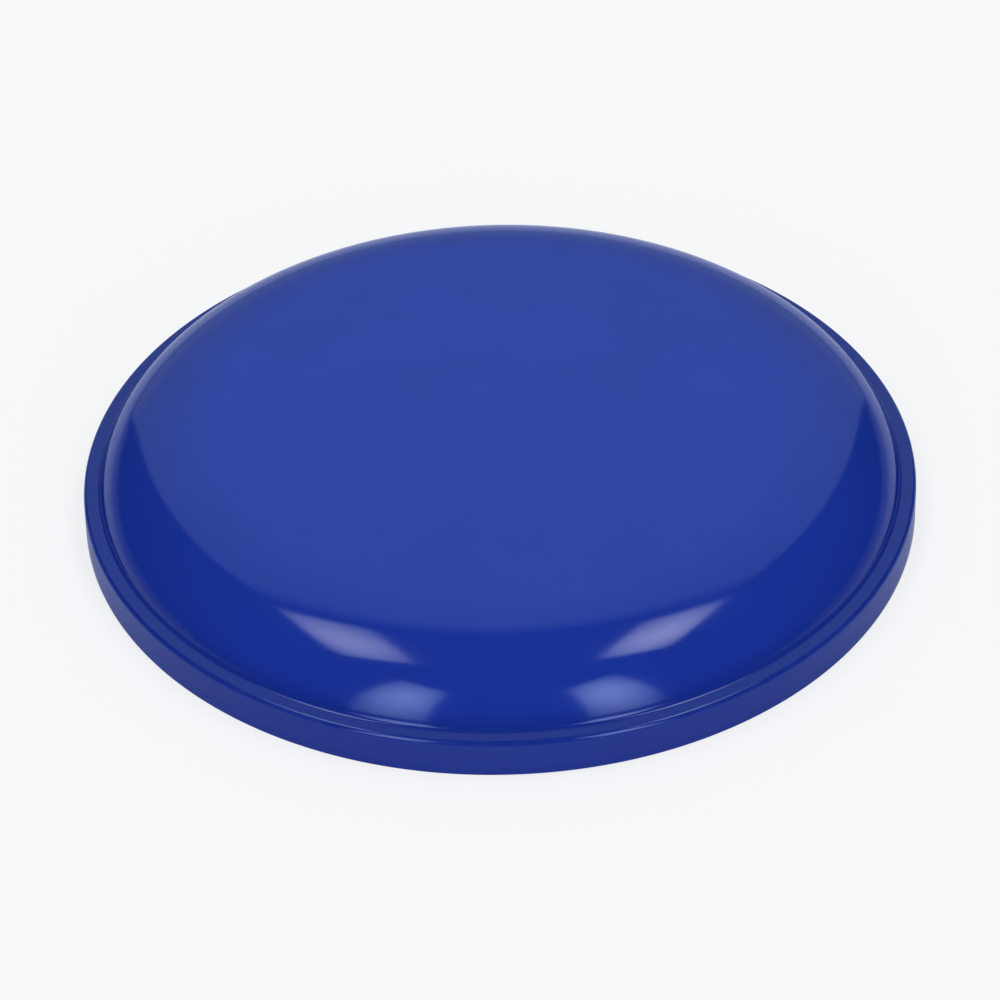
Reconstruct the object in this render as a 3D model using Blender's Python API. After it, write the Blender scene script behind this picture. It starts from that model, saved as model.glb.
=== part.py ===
"""Flying disc: one injection-moulded shell with a wide top plate, a round shoulder, a slightly
sloping ledge and an upright rim, open underneath.

Metres, +Z up. The origin is the centre of the circle that the rim rests on.
"""

import math

import bmesh
import bpy

# Driving dimensions
RIM_RADIUS = 0.110  # outer edge of the ledge, the disc's nominal radius
LEDGE_HEIGHT = 0.01042  # where the ledge's slope meets the rim, above the resting plane
LEDGE_TILT = 4.5  # degrees by which the ledge falls outwards
DOME_RADIUS = 0.10643  # widest reach of the shoulder's ellipse, below the ledge
SHOULDER_RUN = 0.03109  # the ellipse's half width
SHOULDER_RISE = 0.02071  # and its half height
SHOULDER_BASE = 0.00608  # height of its centre
CROWN_RISE = 0.0006  # how much the top plate bulges at its centre
WALL = 0.0018  # thickness of plate and shoulder
LEDGE_WALL = 0.0020
SKIRT_WALL = 0.0024  # thickness of the upright rim
DRAFT = 0.0001  # the rim is this much wider at its foot, outside and inside

# Edge radii
LEDGE_EDGE = 0.00135
FOOT_EDGE = 0.00065  # outer edge of the resting face
INNER_EDGE = 0.0004  # inner edge of the resting face
STEP_FILLET = 0.0008  # inner corner under the ledge

# Gate mark, in the middle of the underside
GATE_RADIUS = 0.0025
GATE_DEPTH = 0.0003

# Where the shoulder's arc starts and ends, in degrees of its ellipse from the level
SHOULDER_TOP = 88.5
OUTER_FOOT = 15.6
INNER_FOOT = 9.5

TURNS = 96  # facets round the disc
WELD = 0.00001  # points closer than this become one

PLATE_RADIUS = DOME_RADIUS - SHOULDER_RUN
PLATE_HEIGHT = SHOULDER_BASE + SHOULDER_RISE
LEDGE_UNDER = LEDGE_HEIGHT - LEDGE_WALL
SKIRT_INNER = RIM_RADIUS - SKIRT_WALL


def arc(centre, run, rise, start, end, steps):
    """Points along an elliptic arc in the (radius, height) plane; degrees from +radius."""
    angles = [math.radians(start + (end - start) * i / steps) for i in range(steps + 1)]
    return [(centre[0] + run * math.cos(a), centre[1] + rise * math.sin(a)) for a in angles]


def crowned(radii, edge_height):
    """Points of a slightly bulging plate whose edge has the given height."""
    return [(r, edge_height + CROWN_RISE * (1 - (r / PLATE_RADIUS) ** 2)) for r in radii]


def foot_arc(run, rise, foot, level, tilt, steps):
    """The hollow curve that joins the shoulder's ellipse, left at foot degrees, to a face of the
    ledge that has this level at the rim and falls outwards by tilt degrees."""
    turn, fall = math.radians(foot), math.radians(tilt)
    touch = PLATE_RADIUS + run * math.cos(turn), SHOULDER_BASE + rise * math.sin(turn)
    steep = math.atan2(rise * math.cos(turn), run * math.sin(turn))
    climb = touch[1] - level - (RIM_RADIUS - touch[0]) * math.tan(fall)
    radius = climb * math.cos(fall) / (1 - math.cos(steep - fall))
    centre = touch[0] + radius * math.sin(steep), touch[1] + radius * math.cos(steep)
    return arc(centre, radius, radius, 270 - math.degrees(steep), 270 - tilt, steps)


def outer_profile():
    """From the middle of the top down the outside to the resting face."""
    points = crowned((0.0, 0.030, 0.055), PLATE_HEIGHT)
    run, rise = SHOULDER_RUN, SHOULDER_RISE
    points += arc((PLATE_RADIUS, SHOULDER_BASE), run, rise, SHOULDER_TOP, OUTER_FOOT, 11)[:-1]
    points += foot_arc(run, rise, OUTER_FOOT, LEDGE_HEIGHT, LEDGE_TILT, 4)
    fall = math.radians(LEDGE_TILT)
    drop = LEDGE_EDGE * (1 / math.cos(fall) - math.tan(fall))
    edge_centre = (RIM_RADIUS - LEDGE_EDGE, LEDGE_HEIGHT - drop)
    points += arc(edge_centre, LEDGE_EDGE, LEDGE_EDGE, 90 - LEDGE_TILT, 0, 4)
    foot_centre = (RIM_RADIUS + DRAFT - FOOT_EDGE, FOOT_EDGE)
    return points + arc(foot_centre, FOOT_EDGE, FOOT_EDGE, 0, -90, 3)


def inner_profile():
    """From the resting face up the inside to the middle of the underside."""
    inner_foot = SKIRT_INNER + DRAFT
    points = arc((inner_foot + INNER_EDGE, INNER_EDGE), INNER_EDGE, INNER_EDGE, 270, 180, 2)
    fillet_centre = (SKIRT_INNER - STEP_FILLET, LEDGE_UNDER - STEP_FILLET)
    points += arc(fillet_centre, STEP_FILLET, STEP_FILLET, 0, 90, 3)
    run, rise = SHOULDER_RUN - WALL, SHOULDER_RISE - WALL
    points += foot_arc(run, rise, INNER_FOOT, LEDGE_UNDER, 0, 3)[:0:-1]
    points += arc((PLATE_RADIUS, SHOULDER_BASE), run, rise, INNER_FOOT, SHOULDER_TOP, 9)
    points += crowned((0.055, 0.030, GATE_RADIUS), PLATE_HEIGHT - WALL)
    gate = PLATE_HEIGHT + CROWN_RISE - WALL - GATE_DEPTH
    return points + [(GATE_RADIUS, gate), (0.0, gate)]


def plastic():
    """Glossy royal blue polypropylene."""
    material = bpy.data.materials.new("blue_plastic")
    material.use_nodes = True
    shader = material.node_tree.nodes["Principled BSDF"]
    shader.inputs["Base Color"].default_value = (0.023, 0.062, 0.42, 1)
    shader.inputs["Roughness"].default_value = 0.13
    shader.inputs["Metallic"].default_value = 0
    return material


def disc():
    """The whole disc, turned from its half section."""
    points = outer_profile() + inner_profile()
    section = bmesh.new()
    corners = [section.verts.new((r, 0, z)) for r, z in points]
    edges = [section.edges.new(pair) for pair in zip(corners, corners[1:])]
    around = {"cent": (0, 0, 0), "axis": (0, 0, 1), "angle": math.tau, "steps": TURNS}
    bmesh.ops.spin(section, geom=corners + edges, use_merge=True, **around)
    bmesh.ops.remove_doubles(section, verts=section.verts, dist=WELD)
    bmesh.ops.recalc_face_normals(section, faces=section.faces)
    mesh = bpy.data.meshes.new("disc")
    section.to_mesh(mesh)
    section.free()
    mesh.materials.append(plastic())
    mesh.shade_smooth()
    mesh.set_sharp_from_angle(angle=math.radians(40))
    turned = bpy.data.objects.new("disc", mesh)
    bpy.context.scene.collection.objects.link(turned)
    return turned


for leftover in list(bpy.data.objects):
    bpy.data.objects.remove(leftover)
disc()
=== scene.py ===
"""Looks of the flying disc: a finely turned shell, its glossy plastic, and a soft light studio."""

import math

import bmesh
import bpy
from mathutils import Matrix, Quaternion, Vector


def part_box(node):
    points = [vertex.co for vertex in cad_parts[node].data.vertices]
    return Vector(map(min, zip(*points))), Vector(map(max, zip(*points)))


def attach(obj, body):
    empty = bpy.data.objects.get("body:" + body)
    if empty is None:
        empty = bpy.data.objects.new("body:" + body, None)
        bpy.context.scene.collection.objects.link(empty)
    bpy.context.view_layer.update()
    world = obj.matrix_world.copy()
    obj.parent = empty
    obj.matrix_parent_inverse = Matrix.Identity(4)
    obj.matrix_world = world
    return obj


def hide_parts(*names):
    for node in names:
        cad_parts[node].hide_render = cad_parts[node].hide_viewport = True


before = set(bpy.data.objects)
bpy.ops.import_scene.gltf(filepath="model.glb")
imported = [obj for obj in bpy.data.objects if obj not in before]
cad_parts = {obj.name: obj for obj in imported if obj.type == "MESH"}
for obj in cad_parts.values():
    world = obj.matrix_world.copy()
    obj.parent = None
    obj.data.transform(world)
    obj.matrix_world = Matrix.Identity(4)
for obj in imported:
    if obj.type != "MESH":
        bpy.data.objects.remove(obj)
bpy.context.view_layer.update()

# Camera: its height above the table, its distance from the middle of the disc's base, and its tilt
CAMERA_ELEVATION = math.radians(38.46)
CAMERA_DISTANCE = 1.1
CAMERA_LENS = 148.6
CAMERA_ROLL = math.radians(-1.31)
CAMERA_AIM = Vector((-0.00007, 0, -0.00097))

# The disc's own sizes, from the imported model's box and the part's section
LOW, HIGH = (Vector(corner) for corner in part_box("disc"))
DRAFT = 0.0001
RIM_RADIUS = HIGH.x - DRAFT
LEDGE_HEIGHT = 0.01042
LEDGE_TILT = 4.5
DOME_RADIUS = 0.10643
SHOULDER_RUN = 0.03109
SHOULDER_RISE = 0.02071
SHOULDER_BASE = 0.00608
CROWN_RISE = 0.0006
WALL = 0.0018
LEDGE_WALL = 0.0020
SKIRT_WALL = 0.0024
LEDGE_EDGE = 0.00135
FOOT_EDGE = 0.00065
INNER_EDGE = 0.0004
STEP_FILLET = 0.0008
GATE_RADIUS = 0.0025
GATE_DEPTH = 0.0003
SHOULDER_TOP = 88.5
OUTER_FOOT = 15.6
INNER_FOOT = 9.5

# How finely the section is turned and its curves are divided
TURNS = 360
PLATE_STEPS = 16
SHOULDER_STEPS = 64
INNER_SHOULDER_STEPS = 32
OUTER_CORNER_STEPS = 14
INNER_CORNER_STEPS = 6
FOOT_EDGE_STEPS = 8
WELD = 0.000001  # points closer than this become one

BLUE = (0.0197, 0.0585, 0.385)
RUBBED_BLUE = (0.09, 0.14, 0.5)  # the paler colour that rubbing brings out
# Painted light and shade: the colour made paler over the plate and darker at the ledge and wall, from
# the middle (0) to the rim (1), as a share of BLUE
PAINTED_SHADE_SHARES = ((0.0, 1.15), (0.68, 1.13), (0.82, 1.0), (0.94, 0.97), (0.965, 0.80), (1.0, 0.80))
COLOUR_DRIFT = 0.025  # share by which the colour drifts up and down
RUBBED_SHARE = 0.12  # how far the worst rubbed spots go towards RUBBED_BLUE
RUBBED_FROM, RUBBED_FULLY = 0.0012, 0.0007  # distances short of the ledge's outer corner
ROUGHNESS = (0.09, 0.115)
SATIN = 0.2  # how much rougher the underside is
RING_SPACING = 0.0009  # of the fine turned rings on the underside
RING_DEPTH = 0.000006
PEEL_DEPTH = 0.000006  # of the slight unevenness all over

PLATE_RADIUS = DOME_RADIUS - SHOULDER_RUN
PLATE_HEIGHT = SHOULDER_BASE + SHOULDER_RISE
LEDGE_UNDER = LEDGE_HEIGHT - LEDGE_WALL
SKIRT_INNER = RIM_RADIUS - SKIRT_WALL


def arc(centre, run, rise, start, end, steps):
    """Points along an elliptic arc in the (radius, height) plane; degrees from +radius."""
    angles = [math.radians(start + (end - start) * i / steps) for i in range(steps + 1)]
    return [(centre[0] + run * math.cos(a), centre[1] + rise * math.sin(a)) for a in angles]


def crowned(radii, edge_height):
    """Points of a slightly bulging plate whose edge has the given height."""
    return [(r, edge_height + CROWN_RISE * (1 - (r / PLATE_RADIUS) ** 2)) for r in radii]


def foot_arc(run, rise, foot, level, tilt, steps):
    """The hollow curve that joins the shoulder's ellipse, left at foot degrees, to a face of the
    ledge that has this level at the rim and falls outwards by tilt degrees."""
    turn, fall = math.radians(foot), math.radians(tilt)
    touch = PLATE_RADIUS + run * math.cos(turn), SHOULDER_BASE + rise * math.sin(turn)
    steep = math.atan2(rise * math.cos(turn), run * math.sin(turn))
    climb = touch[1] - level - (RIM_RADIUS - touch[0]) * math.tan(fall)
    radius = climb * math.cos(fall) / (1 - math.cos(steep - fall))
    centre = touch[0] + radius * math.sin(steep), touch[1] + radius * math.cos(steep)
    return arc(centre, radius, radius, 270 - math.degrees(steep), 270 - tilt, steps)


def outer_profile():
    """From the middle of the top down the outside to the resting face."""
    points = crowned([PLATE_RADIUS * i / PLATE_STEPS for i in range(PLATE_STEPS)], PLATE_HEIGHT)
    run, rise = SHOULDER_RUN, SHOULDER_RISE
    centre = (PLATE_RADIUS, SHOULDER_BASE)
    points += arc(centre, run, rise, SHOULDER_TOP, OUTER_FOOT, SHOULDER_STEPS)[:-1]
    points += foot_arc(run, rise, OUTER_FOOT, LEDGE_HEIGHT, LEDGE_TILT, OUTER_CORNER_STEPS)
    fall = math.radians(LEDGE_TILT)
    drop = LEDGE_EDGE * (1 / math.cos(fall) - math.tan(fall))
    edge_centre = (RIM_RADIUS - LEDGE_EDGE, LEDGE_HEIGHT - drop)
    points += arc(edge_centre, LEDGE_EDGE, LEDGE_EDGE, 90 - LEDGE_TILT, 0, OUTER_CORNER_STEPS)
    foot_centre = (RIM_RADIUS + DRAFT - FOOT_EDGE, FOOT_EDGE)
    return points + arc(foot_centre, FOOT_EDGE, FOOT_EDGE, 0, -90, FOOT_EDGE_STEPS)


def inner_profile():
    """From the resting face up the inside to the middle of the underside."""
    edge_centre = (SKIRT_INNER + DRAFT + INNER_EDGE, INNER_EDGE)
    points = arc(edge_centre, INNER_EDGE, INNER_EDGE, 270, 180, INNER_CORNER_STEPS)
    fillet_centre = (SKIRT_INNER - STEP_FILLET, LEDGE_UNDER - STEP_FILLET)
    points += arc(fillet_centre, STEP_FILLET, STEP_FILLET, 0, 90, INNER_CORNER_STEPS)
    run, rise = SHOULDER_RUN - WALL, SHOULDER_RISE - WALL
    points += foot_arc(run, rise, INNER_FOOT, LEDGE_UNDER, 0, INNER_CORNER_STEPS)[:0:-1]
    centre = (PLATE_RADIUS, SHOULDER_BASE)
    points += arc(centre, run, rise, INNER_FOOT, SHOULDER_TOP, INNER_SHOULDER_STEPS)
    radii = [PLATE_RADIUS * i / PLATE_STEPS for i in range(PLATE_STEPS - 1, 0, -1)]
    points += crowned(radii + [GATE_RADIUS], PLATE_HEIGHT - WALL)
    gate = PLATE_HEIGHT + CROWN_RISE - WALL - GATE_DEPTH
    return points + [(GATE_RADIUS, gate), (0.0, gate)]


def turned_shell():
    """The disc's shell, turned from its half section. Its attribute inside is 1 on the underside."""
    outside, inside = outer_profile(), inner_profile()
    section = bmesh.new()
    mark = section.verts.layers.float.new("inside")
    corners = []
    for r, z, value in [(*p, 0.0) for p in outside] + [(*p, 1.0) for p in inside]:
        corner = section.verts.new((r, 0, z))
        corner[mark] = value
        corners.append(corner)
    edges = [section.edges.new(pair) for pair in zip(corners, corners[1:])]
    around = {"cent": (0, 0, 0), "axis": (0, 0, 1), "angle": math.tau, "steps": TURNS}
    bmesh.ops.spin(section, geom=corners + edges, use_merge=True, **around)
    bmesh.ops.remove_doubles(section, verts=section.verts, dist=WELD)
    bmesh.ops.recalc_face_normals(section, faces=section.faces)
    mesh = bpy.data.meshes.new("moulded_shell")
    section.to_mesh(mesh)
    section.free()
    mesh.shade_smooth()
    mesh.set_sharp_from_angle(angle=math.radians(40))
    shell = bpy.data.objects.new("moulded_shell", mesh)
    bpy.context.scene.collection.objects.link(shell)
    return shell


class Nodes:
    """The node tree of a material or of the world, built with short calls."""

    def __init__(self, owner):
        owner.use_nodes = True
        self.tree = owner.node_tree

    def add(self, kind, *inputs, out=0, **settings):
        """A new node with its first inputs given as values or as other nodes' outputs."""
        node = self.tree.nodes.new("ShaderNode" + kind)
        for name, value in settings.items():
            setattr(node, name, value)
        for socket, value in zip(node.inputs, inputs):
            self.feed(socket, value)
        return node.outputs[out] if node.outputs else None

    def feed(self, socket, value):
        if isinstance(value, bpy.types.NodeSocket):
            self.tree.links.new(value, socket)
        elif value is not None:
            socket.default_value = value

    def math(self, operation, *inputs):
        return self.add("Math", *inputs, operation=operation)

    def fit(self, value, low, high, to_low, to_high):
        """Value moved from the range low..high to the range to_low..to_high, and kept inside it."""
        return self.add("MapRange", value, low, high, to_low, to_high)

    def noise(self, place, scale, detail):
        return self.add("TexNoise", place, None, scale, detail)

    def ramp(self, value, stops):
        """Value turned into a colour, by stops that each have a position and a colour."""
        colour = self.add("ValToRGB", value)
        elements = colour.node.color_ramp.elements
        while len(elements) < len(stops):
            elements.new(0.5)
        for element, (position, shade) in zip(elements, stops):
            element.position = position
            element.color = (*shade, 1)
        return colour


def plastic():
    """Glossy blue plastic, painted paler over the plate and darker at the ledge and wall as light and
    shade, and satin inside.

    Its colour and gloss drift a little, the rim's edges are lightly rubbed, and the inside keeps
    the fine rings of the turned mould.
    """
    material = bpy.data.materials.new("blue_plastic")
    nodes = Nodes(material)
    shader = nodes.tree.nodes["Principled BSDF"]
    place = nodes.add("NewGeometry")
    flat = nodes.add("VectorMath", place, (1, 1, 0), operation="MULTIPLY")
    radius = nodes.add("VectorMath", flat, operation="LENGTH", out=1)
    inside = nodes.add("Attribute", attribute_name="inside", out=2)
    outside = nodes.math("SUBTRACT", 1.0, inside)

    # Painted light and shade: the blue is made paler over the plate and darker at the ledge and wall.
    shaded_blues = [(where, [share * c for c in BLUE]) for where, share in PAINTED_SHADE_SHARES]
    painted_shading = nodes.ramp(nodes.fit(radius, 0.0, RIM_RADIUS, 0.0, 1.0), shaded_blues)
    cloud = nodes.noise(place, 38.0, 3.0)
    drift = nodes.fit(cloud, 0.3, 0.7, 1 - COLOUR_DRIFT, 1 + COLOUR_DRIFT)
    colour = nodes.add("VectorMath", painted_shading, None, None, drift, operation="SCALE")

    height = nodes.add("SeparateXYZ", place, out=2)
    outwards = nodes.math("ADD", radius, height)
    corner = RIM_RADIUS + LEDGE_HEIGHT
    top_edge = nodes.fit(outwards, corner - RUBBED_FROM, corner - RUBBED_FULLY, 0.0, 1.0)
    low_edge = nodes.fit(height, 0.0006, 0.0001, 0.0, 1.0)
    edges = nodes.math("MULTIPLY", nodes.math("MAXIMUM", top_edge, low_edge), outside)
    patches = nodes.fit(nodes.noise(place, 150.0, 5.0), 0.45, 0.75, 0.0, RUBBED_SHARE)
    rubbed = nodes.math("MULTIPLY", patches, edges)
    worn = nodes.add("MixRGB", rubbed, colour, (*RUBBED_BLUE, 1))
    nodes.feed(shader.inputs["Base Color"], worn)

    gloss = nodes.fit(nodes.noise(place, 55.0, 4.0), 0.3, 0.7, *ROUGHNESS)
    satin = nodes.math("ADD", gloss, nodes.math("MULTIPLY", inside, SATIN))
    nodes.feed(shader.inputs["Roughness"], nodes.math("ADD", satin, rubbed))
    nodes.feed(shader.inputs["IOR"], 1.5)

    rings = nodes.math("SINE", nodes.math("MULTIPLY", radius, math.tau / RING_SPACING))
    ring_height = nodes.math("MULTIPLY", nodes.math("MULTIPLY", rings, inside), RING_DEPTH)
    peel_height = nodes.math("MULTIPLY", nodes.noise(place, 260.0, 2.0), PEEL_DEPTH)
    bump = nodes.add("Bump", 1.0, 1.0)
    nodes.feed(bump.node.inputs["Height"], nodes.math("ADD", ring_height, peel_height))
    nodes.feed(shader.inputs["Normal"], bump)
    return material


def glowing(name, tint):
    """A light panel's surface, as bright as the mesh's own glow attribute says."""
    material = bpy.data.materials.new(name)
    nodes = Nodes(material)
    nodes.tree.nodes.clear()
    glow = nodes.add("Attribute", attribute_name="glow", out=2)
    nodes.add("OutputMaterial", nodes.add("Emission", (*tint, 1), glow))
    return material


def panel(name, corners, brightness, steps=16, tint=(1, 1, 1)):
    """A light panel between four corners; brightness is a function of its two unit coordinates."""
    mesh = bpy.data.meshes.new(name)
    low_left, low_right, high_right, high_left = (Vector(corner) for corner in corners)
    points, values = [], []
    for row in range(steps + 1):
        v = row / steps
        for column in range(steps + 1):
            u = column / steps
            points.append(low_left.lerp(low_right, u).lerp(high_left.lerp(high_right, u), v))
            values.append(brightness(u, v))
    wide = steps + 1
    firsts = [row * wide + column for row in range(steps) for column in range(steps)]
    faces = [(first, first + 1, first + 1 + wide, first + wide) for first in firsts]
    mesh.from_pydata(points, [], faces)
    mesh.attributes.new("glow", "FLOAT", "POINT").data.foreach_set("value", values)
    mesh.materials.append(glowing(name, tint))
    light = bpy.data.objects.new(name, mesh)
    bpy.context.scene.collection.objects.link(light)
    light.visible_camera = False


def bell(peak, centre, spread):
    """A softbox's brightness: a hot spot that falls away towards the edges."""
    def brightness(u, v):
        aside, above = (u - centre[0]) / spread[0], (v - centre[1]) / spread[1]
        return LIGHT * peak * math.exp(-(aside**2) - above**2)
    return brightness


LIGHT = 1.5  # the light panels' common strength
REACH = 4.0  # how far off the light panels stand
WINDOW_BLUE = (0.86, 1.0, 1.17)  # tint of the front panels and the skirting
BACK_BLUE = (0.86, 1.03, 1.14)  # tint of the back panel

# Each side's inner edge, in metres aside per metre of reach, and its peak brightness
OVERHEAD = {"left": (0.228, 3.6), "right": (0.247, 4.1)}
FRONT = {"left": (0.35, 3.1), "right": (0.38, 3.35)}

SKIRTING_TURNS = (35, 50, 65, 80, 95)  # degrees from straight behind
SKIRTING_HEIGHT = 0.12  # metres per metre of reach
SKIRTING_GLOW = 0.40

FILL = 1.3  # strength of the soft light that shows in no reflection
FILL_SPREAD = math.radians(180)
FILL_TILT = math.radians(10)  # towards the camera

ROOM_GLOW = 0.0096  # how bright the room is to everything but the camera
CONTRAST = 0.833  # gamma of the finished picture


def overhead_panel(name, side, inner, peak):
    """A softbox over one side of the disc, set out from the spot on the shoulder that mirrors it."""
    outer, near, far = 0.50, -0.125, 0.325
    spot = Vector((side * 0.05, -0.08, 0.02))
    corners = [
        spot + REACH * Vector((side * x, y, 1))
        for x, y in ((inner, near), (outer, near), (outer, far), (inner, far))
    ]
    panel(name, corners, bell(peak, (0.5, 0.47), (0.70, 0.60)))


def front_panel(name, side, inner, peak):
    """A tall window beside the camera, whose top slopes up outwards."""
    spot = Vector((side * 0.05, -0.09, 0.018))
    low, high, inner_high = 0.13, 2.3, 1.42
    corners = [
        spot + REACH * Vector((side * x, -1, z))
        for x, z in ((inner, low), (inner + 0.475, low), (inner + 0.515, high), (inner, inner_high))
    ]
    panel(name, corners, bell(peak, (0.42, 0.50), (0.60, 0.52)), tint=WINDOW_BLUE)


def back_panel():
    """The tall wall behind the disc, which widens upwards and which the top plate mirrors."""
    foot, top, high = 0.64, 1.26, 2.6
    corners = [
        REACH * Vector((x, 1, z)) for x, z in ((-foot, 0), (foot, 0), (top, high), (-top, high))
    ]

    def brightness(u, v):
        """Rises from the floor to a steady level, with a weak glow low down and a soft top."""
        rise = 0.24 + 0.20 * min(1, v / 0.28) + 0.07 * max(0, 1 - v / 0.1)
        return LIGHT * rise * min(1, (1 - v) / 0.25)

    panel("back_panel", corners, brightness, 30, BACK_BLUE)


def skirting(name, side):
    """The faint glow of the far floor, low down at the back and side."""
    def brightness(u, v):
        return SKIRTING_GLOW * (1 - v) ** 2

    turns = [math.radians(degrees) for degrees in SKIRTING_TURNS]
    low = [REACH * Vector((side * math.sin(a), math.cos(a), 0)) for a in turns]
    up = Vector((0, 0, SKIRTING_HEIGHT * REACH))
    for index, (start, end) in enumerate(zip(low, low[1:])):
        corners = (start, end, end + up, start + up)
        panel(f"{name}_{index}", corners, brightness, 6, WINDOW_BLUE)


def fill_light():
    """A soft light from above the camera. Only the plastic's own colour shows it."""
    data = bpy.data.lights.new("fill_light", "SUN")
    data.energy = FILL
    data.angle = FILL_SPREAD
    light = bpy.data.objects.new("fill_light", data)
    light.rotation_euler = (FILL_TILT, 0, 0)
    light.visible_glossy = False
    bpy.context.scene.collection.objects.link(light)


def room():
    """A dim room round the light panels, which the camera sees as a white background."""
    world = bpy.data.worlds.new("room")
    nodes = Nodes(world)
    nodes.tree.nodes.clear()
    seen = nodes.add("LightPath")
    strength = nodes.fit(seen, 0.0, 1.0, ROOM_GLOW, 1.0)
    nodes.add("OutputWorld", nodes.add("Background", (1, 1, 1, 1), strength))
    bpy.context.scene.world = world


TABLE_HALF = 6.0  # half of the table's width
TABLE_GAP = 0.00005  # how far the table stays clear of the disc
TABLE_REACH = 0.4  # the table's reflected brightness is steady beyond this distance
# A pool of light painted on the table: its brightness in reflections, at these distances from the disc's
# middle
PAINTED_TABLE_POOL = (
    (0.0, 0.78),
    (0.126, 0.78),
    (0.150, 0.76),
    (0.175, 0.74),
    (0.21, 0.60),
    (0.28, 0.42),
    (TABLE_REACH, 0.34),
)
TABLE_BLUE = (0.98, 1.01, 1.19)  # its tint in reflections
PAPER = (0.82, 0.82, 0.82)  # what the camera sees of it, mixed with plain white
WHITE_STRENGTH = 1.04
WHITE_SHARE = 0.75


def table():
    """A white table. The camera sees it nearly white. To everything else it dims with distance to
    the front and sides, and not behind the disc, as a pool of light painted into its colour."""
    mesh = bpy.data.meshes.new("table")
    half = TABLE_HALF
    level = LOW.z - TABLE_GAP
    corners = [(-half, -half, level), (half, -half, level), (half, half, level), (-half, half, level)]
    mesh.from_pydata(corners, [], [(0, 1, 2, 3)])
    material = bpy.data.materials.new("white_table")
    nodes = Nodes(material)
    nodes.tree.nodes.clear()
    place = nodes.add("NewGeometry")
    aside = nodes.add("SeparateXYZ", place)
    front = nodes.math("MINIMUM", aside.node.outputs["Y"], 0.0)
    away = nodes.add("VectorMath", nodes.add("CombineXYZ", aside, front, 0.0), operation="LENGTH", out=1)
    # Painted pool of light: the table's colour in reflections dims away from the disc.
    stops = [(where / TABLE_REACH, [grey * c for c in TABLE_BLUE]) for where, grey in PAINTED_TABLE_POOL]
    shade = nodes.ramp(nodes.fit(away, 0.0, TABLE_REACH, 0.0, 1.0), stops)
    seen = nodes.add("LightPath")
    paper = nodes.add("BsdfDiffuse", (*PAPER, 1))
    pool_painted_paper = nodes.add("BsdfDiffuse", shade)
    white = nodes.add("Emission", (1, 1, 1, 1), WHITE_STRENGTH)
    pale = nodes.add("MixShader", WHITE_SHARE, paper, white)
    both = nodes.add("MixShader", seen, pool_painted_paper, pale)
    nodes.add("OutputMaterial", both)
    mesh.materials.append(material)
    top = bpy.data.objects.new("table", mesh)
    bpy.context.scene.collection.objects.link(top)


def camera():
    data = bpy.data.cameras.new("camera")
    data.lens = CAMERA_LENS
    data.sensor_width = 36
    eye = bpy.data.objects.new("camera", data)
    away = Vector((0, -math.cos(CAMERA_ELEVATION), math.sin(CAMERA_ELEVATION)))
    eye.location = CAMERA_DISTANCE * away
    look = (CAMERA_AIM - eye.location).to_track_quat("-Z", "Y")
    eye.rotation_mode = "QUATERNION"
    eye.rotation_quaternion = look @ Quaternion((0, 0, 1), CAMERA_ROLL)
    bpy.context.scene.collection.objects.link(eye)
    bpy.context.scene.camera = eye


camera()
shell = turned_shell()
shell.data.materials.append(plastic())
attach(shell, "root")
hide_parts("disc")
table()
room()
for where, side in (("left", -1), ("right", 1)):
    overhead_panel(f"overhead_{where}", side, *OVERHEAD[where])
    front_panel(f"front_{where}", side, *FRONT[where])
    skirting(f"skirting_{where}", side)
back_panel()
fill_light()
bpy.context.scene.view_settings.view_transform = "Standard"
bpy.context.scene.view_settings.gamma = CONTRAST
